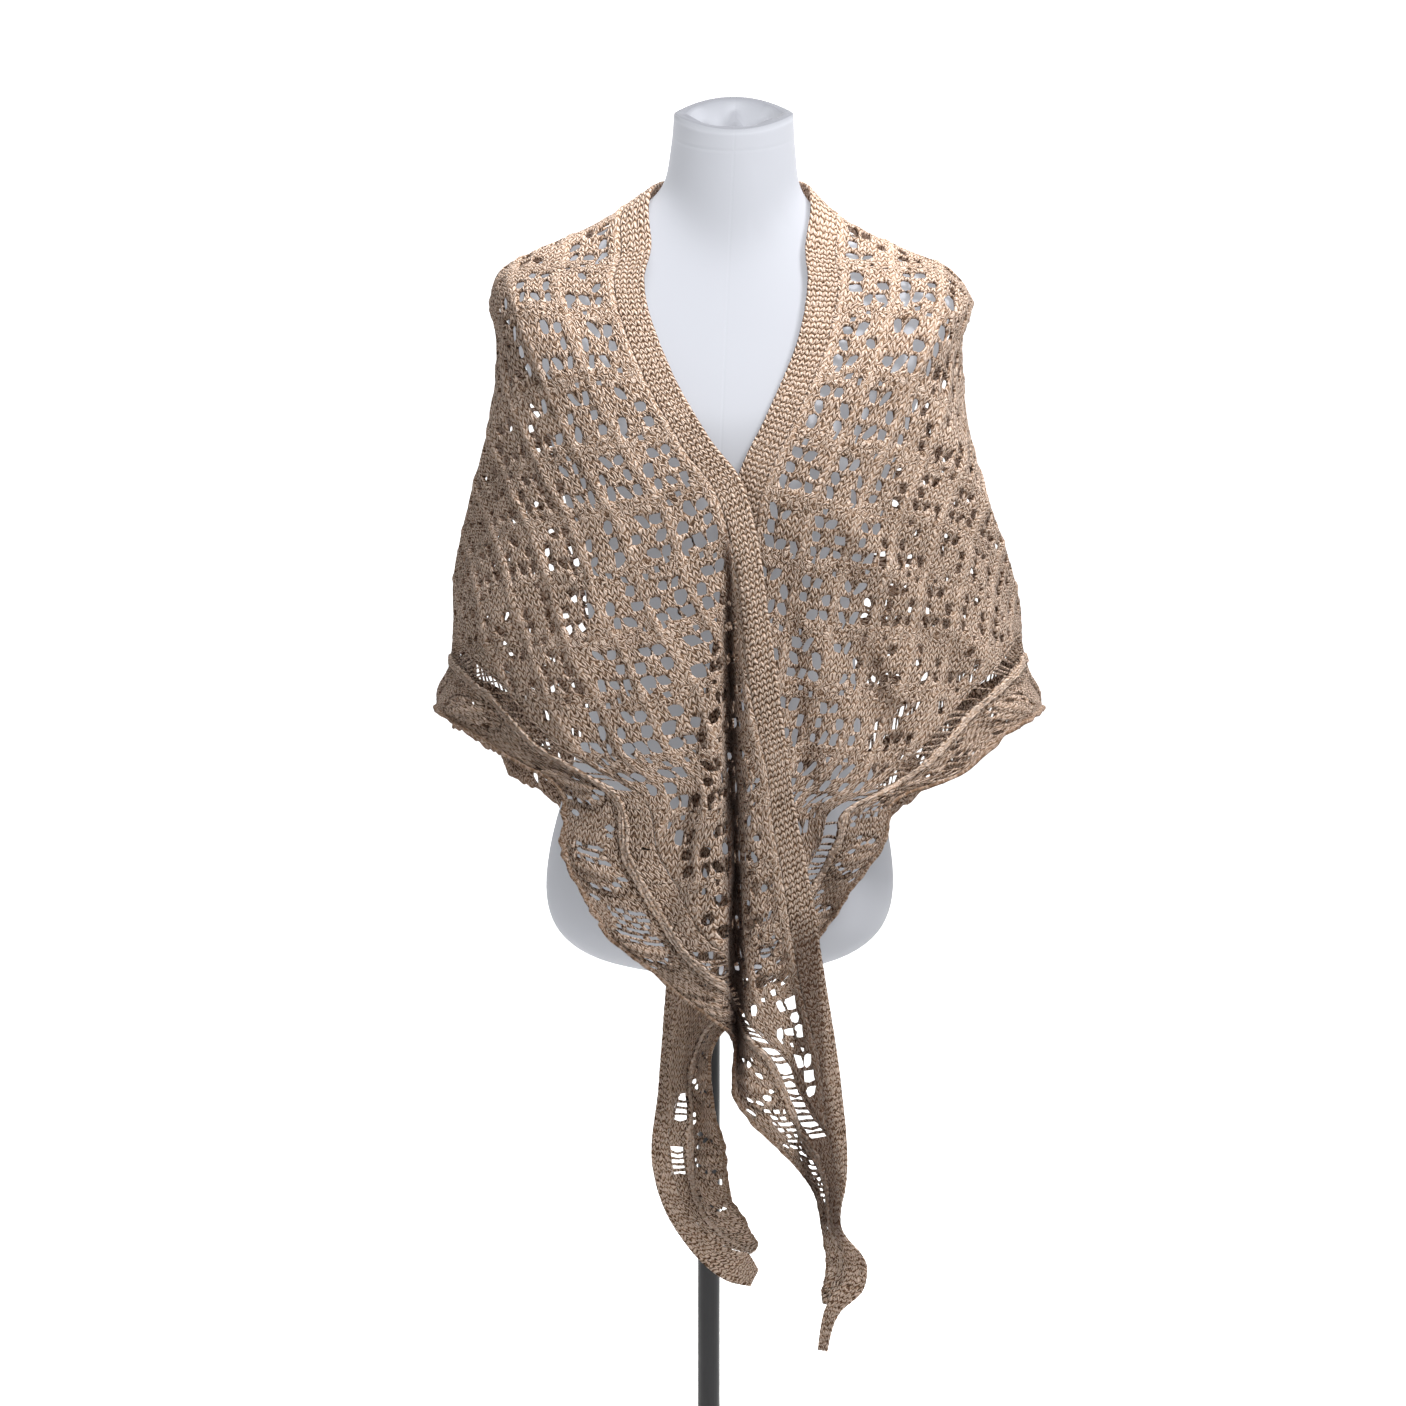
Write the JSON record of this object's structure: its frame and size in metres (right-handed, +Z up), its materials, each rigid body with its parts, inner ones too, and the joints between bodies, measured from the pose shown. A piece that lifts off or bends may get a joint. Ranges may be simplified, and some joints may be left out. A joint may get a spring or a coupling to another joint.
{
  "type": "lace shawl on a limbless dress form",
  "caption": "Triangular hand-knitted lace shawl, worn open with its wings crossed in front, on a limbless dress form with a pole and a round base.",
  "frame": {"origin": "centre of the base's underside, on the pole's axis", "axes": "+Z up along the pole, the front of the form faces -Y, +X to the right in the front view"},
  "size_m": [0.5151, 0.34, 1.299],
  "materials": {
    "lace_knit": "soft tan wool, lace knit, matte with a faint halo",
    "garter_knit": "soft tan wool, garter stitch in raised ridges",
    "edging_knit": "soft tan wool, ladder, twisted cable and leaf fans",
    "white_jersey": "fine white stretch jersey, pulled smooth",
    "black_steel": "satin black powder coat"
  },
  "bodies": {
    "root": {"neck_band_left": "garter_knit", "neck_band_right": "garter_knit", "lace_panel_left": "lace_knit", "lace_panel_right": "lace_knit", "edging_left": "edging_knit", "edging_right": "edging_knit", "form_torso": "white_jersey", "form_collar": "black_steel", "stand_pole": "black_steel", "stand_base": "black_steel"}
  },
  "joints": []
}
